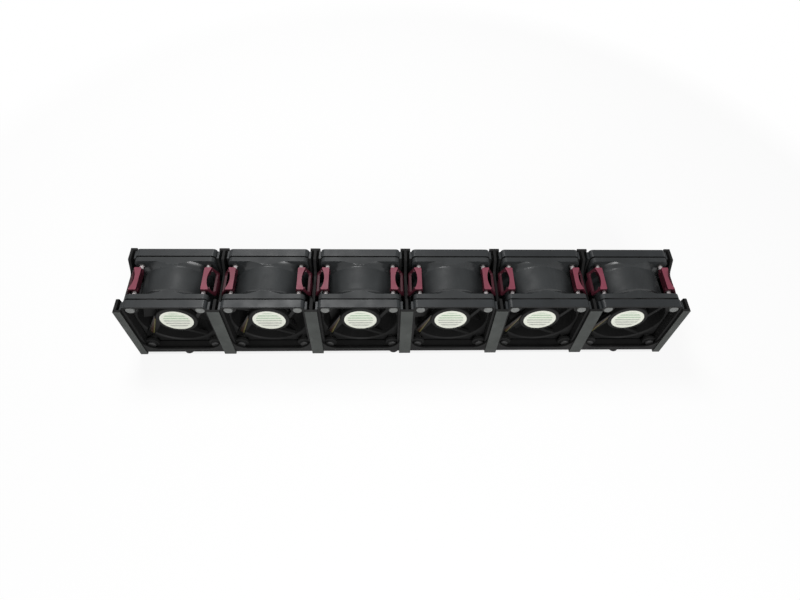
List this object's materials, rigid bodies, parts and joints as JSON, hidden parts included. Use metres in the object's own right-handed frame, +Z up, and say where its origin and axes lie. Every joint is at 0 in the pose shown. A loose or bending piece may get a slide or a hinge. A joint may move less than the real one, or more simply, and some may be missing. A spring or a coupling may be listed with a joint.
{
  "type": "server fan cage",
  "caption": "Moulded cage with a row of lift-out axial fan modules, each with sprung side latches, for cooling a server.",
  "frame": {"origin": "middle of the footprint, on the surface that the cage stands on", "axes": "+X along the row of fans, -Y towards the hub labels at the front, +Z up"},
  "size_m": [0.422, 0.0588, 0.0648],
  "materials": {
    "cage_plastic": "fine moulded grain",
    "carrier_plastic": "satin moulded",
    "housing_plastic": "semi-gloss moulded",
    "impeller_plastic": "semi-gloss moulded",
    "shaft_steel": "ground",
    "motor_copper": "enamelled winding",
    "isolator_rubber": "matte silicone",
    "latch_plastic": "satin moulded",
    "lead_plastic": "extruded sleeve"
  },
  "bodies": {
    "cage": {"fan_cage": "cage_plastic"},
    "module_1": {"carrier_1": "carrier_plastic", "fan_housing_1": "housing_plastic", "motor_1": "motor_copper", "isolators_1": "isolator_rubber", "plug_and_leads_1": "lead_plastic"},
    "rotor_1": {"impeller_1": "impeller_plastic", "shaft_and_magnet_1": "shaft_steel"},
    "left_lever_1": {"latch_left_1": "latch_plastic"},
    "right_lever_1": {"latch_right_1": "latch_plastic"},
    "module_2": {"carrier_2": "carrier_plastic", "fan_housing_2": "housing_plastic", "motor_2": "motor_copper", "isolators_2": "isolator_rubber", "plug_and_leads_2": "lead_plastic"},
    "rotor_2": {"impeller_2": "impeller_plastic", "shaft_and_magnet_2": "shaft_steel"},
    "left_lever_2": {"latch_left_2": "latch_plastic"},
    "right_lever_2": {"latch_right_2": "latch_plastic"},
    "module_3": {"carrier_3": "carrier_plastic", "fan_housing_3": "housing_plastic", "motor_3": "motor_copper", "isolators_3": "isolator_rubber", "plug_and_leads_3": "lead_plastic"},
    "rotor_3": {"impeller_3": "impeller_plastic", "shaft_and_magnet_3": "shaft_steel"},
    "left_lever_3": {"latch_left_3": "latch_plastic"},
    "right_lever_3": {"latch_right_3": "latch_plastic"},
    "module_4": {"carrier_4": "carrier_plastic", "fan_housing_4": "housing_plastic", "motor_4": "motor_copper", "isolators_4": "isolator_rubber", "plug_and_leads_4": "lead_plastic"},
    "rotor_4": {"impeller_4": "impeller_plastic", "shaft_and_magnet_4": "shaft_steel"},
    "left_lever_4": {"latch_left_4": "latch_plastic"},
    "right_lever_4": {"latch_right_4": "latch_plastic"},
    "module_5": {"carrier_5": "carrier_plastic", "fan_housing_5": "housing_plastic", "motor_5": "motor_copper", "isolators_5": "isolator_rubber", "plug_and_leads_5": "lead_plastic"},
    "rotor_5": {"impeller_5": "impeller_plastic", "shaft_and_magnet_5": "shaft_steel"},
    "left_lever_5": {"latch_left_5": "latch_plastic"},
    "right_lever_5": {"latch_right_5": "latch_plastic"},
    "module_6": {"carrier_6": "carrier_plastic", "fan_housing_6": "housing_plastic", "motor_6": "motor_copper", "isolators_6": "isolator_rubber", "plug_and_leads_6": "lead_plastic"},
    "rotor_6": {"impeller_6": "impeller_plastic", "shaft_and_magnet_6": "shaft_steel"},
    "left_lever_6": {"latch_left_6": "latch_plastic"},
    "right_lever_6": {"latch_right_6": "latch_plastic"}
  },
  "joints": [
    {"name": "module_lift_1", "type": "slide", "parent": "cage", "child": "module_1", "axis": [0, 0, 1], "range_m": [0, 0.07]},
    {"name": "rotor_spin_1", "type": "hinge", "parent": "module_1", "child": "rotor_1", "pos_m": [-0.175, -0.00035, 0.0348], "axis": [0, 1, 0], "continuous": true},
    {"name": "latch_left_squeeze_1", "type": "hinge", "parent": "module_1", "child": "left_lever_1", "pos_m": [-0.2, -0.00035, 0.0598], "axis": [0, -1, 0], "range_deg": [-4, 8], "stiffness_Nm_per_rad": 0.12},
    {"name": "latch_right_squeeze_1", "type": "hinge", "parent": "module_1", "child": "right_lever_1", "pos_m": [-0.15, -0.00035, 0.0598], "axis": [0, 1, 0], "range_deg": [-4, 8], "stiffness_Nm_per_rad": 0.12},
    {"name": "module_lift_2", "type": "slide", "parent": "cage", "child": "module_2", "axis": [0, 0, 1], "range_m": [0, 0.07]},
    {"name": "rotor_spin_2", "type": "hinge", "parent": "module_2", "child": "rotor_2", "pos_m": [-0.105, -0.00035, 0.0348], "axis": [0, 1, 0], "continuous": true},
    {"name": "latch_left_squeeze_2", "type": "hinge", "parent": "module_2", "child": "left_lever_2", "pos_m": [-0.13, -0.00035, 0.0598], "axis": [0, -1, 0], "range_deg": [-4, 8], "stiffness_Nm_per_rad": 0.12},
    {"name": "latch_right_squeeze_2", "type": "hinge", "parent": "module_2", "child": "right_lever_2", "pos_m": [-0.08, -0.00035, 0.0598], "axis": [0, 1, 0], "range_deg": [-4, 8], "stiffness_Nm_per_rad": 0.12},
    {"name": "module_lift_3", "type": "slide", "parent": "cage", "child": "module_3", "axis": [0, 0, 1], "range_m": [0, 0.07]},
    {"name": "rotor_spin_3", "type": "hinge", "parent": "module_3", "child": "rotor_3", "pos_m": [-0.035, -0.00035, 0.0348], "axis": [0, 1, 0], "continuous": true},
    {"name": "latch_left_squeeze_3", "type": "hinge", "parent": "module_3", "child": "left_lever_3", "pos_m": [-0.06, -0.00035, 0.0598], "axis": [0, -1, 0], "range_deg": [-4, 8], "stiffness_Nm_per_rad": 0.12},
    {"name": "latch_right_squeeze_3", "type": "hinge", "parent": "module_3", "child": "right_lever_3", "pos_m": [-0.01, -0.00035, 0.0598], "axis": [0, 1, 0], "range_deg": [-4, 8], "stiffness_Nm_per_rad": 0.12},
    {"name": "module_lift_4", "type": "slide", "parent": "cage", "child": "module_4", "axis": [0, 0, 1], "range_m": [0, 0.07]},
    {"name": "rotor_spin_4", "type": "hinge", "parent": "module_4", "child": "rotor_4", "pos_m": [0.035, -0.00035, 0.0348], "axis": [0, 1, 0], "continuous": true},
    {"name": "latch_left_squeeze_4", "type": "hinge", "parent": "module_4", "child": "left_lever_4", "pos_m": [0.01, -0.00035, 0.0598], "axis": [0, -1, 0], "range_deg": [-4, 8], "stiffness_Nm_per_rad": 0.12},
    {"name": "latch_right_squeeze_4", "type": "hinge", "parent": "module_4", "child": "right_lever_4", "pos_m": [0.06, -0.00035, 0.0598], "axis": [0, 1, 0], "range_deg": [-4, 8], "stiffness_Nm_per_rad": 0.12},
    {"name": "module_lift_5", "type": "slide", "parent": "cage", "child": "module_5", "axis": [0, 0, 1], "range_m": [0, 0.07]},
    {"name": "rotor_spin_5", "type": "hinge", "parent": "module_5", "child": "rotor_5", "pos_m": [0.105, -0.00035, 0.0348], "axis": [0, 1, 0], "continuous": true},
    {"name": "latch_left_squeeze_5", "type": "hinge", "parent": "module_5", "child": "left_lever_5", "pos_m": [0.08, -0.00035, 0.0598], "axis": [0, -1, 0], "range_deg": [-4, 8], "stiffness_Nm_per_rad": 0.12},
    {"name": "latch_right_squeeze_5", "type": "hinge", "parent": "module_5", "child": "right_lever_5", "pos_m": [0.13, -0.00035, 0.0598], "axis": [0, 1, 0], "range_deg": [-4, 8], "stiffness_Nm_per_rad": 0.12},
    {"name": "module_lift_6", "type": "slide", "parent": "cage", "child": "module_6", "axis": [0, 0, 1], "range_m": [0, 0.07]},
    {"name": "rotor_spin_6", "type": "hinge", "parent": "module_6", "child": "rotor_6", "pos_m": [0.175, -0.00035, 0.0348], "axis": [0, 1, 0], "continuous": true},
    {"name": "latch_left_squeeze_6", "type": "hinge", "parent": "module_6", "child": "left_lever_6", "pos_m": [0.15, -0.00035, 0.0598], "axis": [0, -1, 0], "range_deg": [-4, 8], "stiffness_Nm_per_rad": 0.12},
    {"name": "latch_right_squeeze_6", "type": "hinge", "parent": "module_6", "child": "right_lever_6", "pos_m": [0.2, -0.00035, 0.0598], "axis": [0, 1, 0], "range_deg": [-4, 8], "stiffness_Nm_per_rad": 0.12}
  ]
}
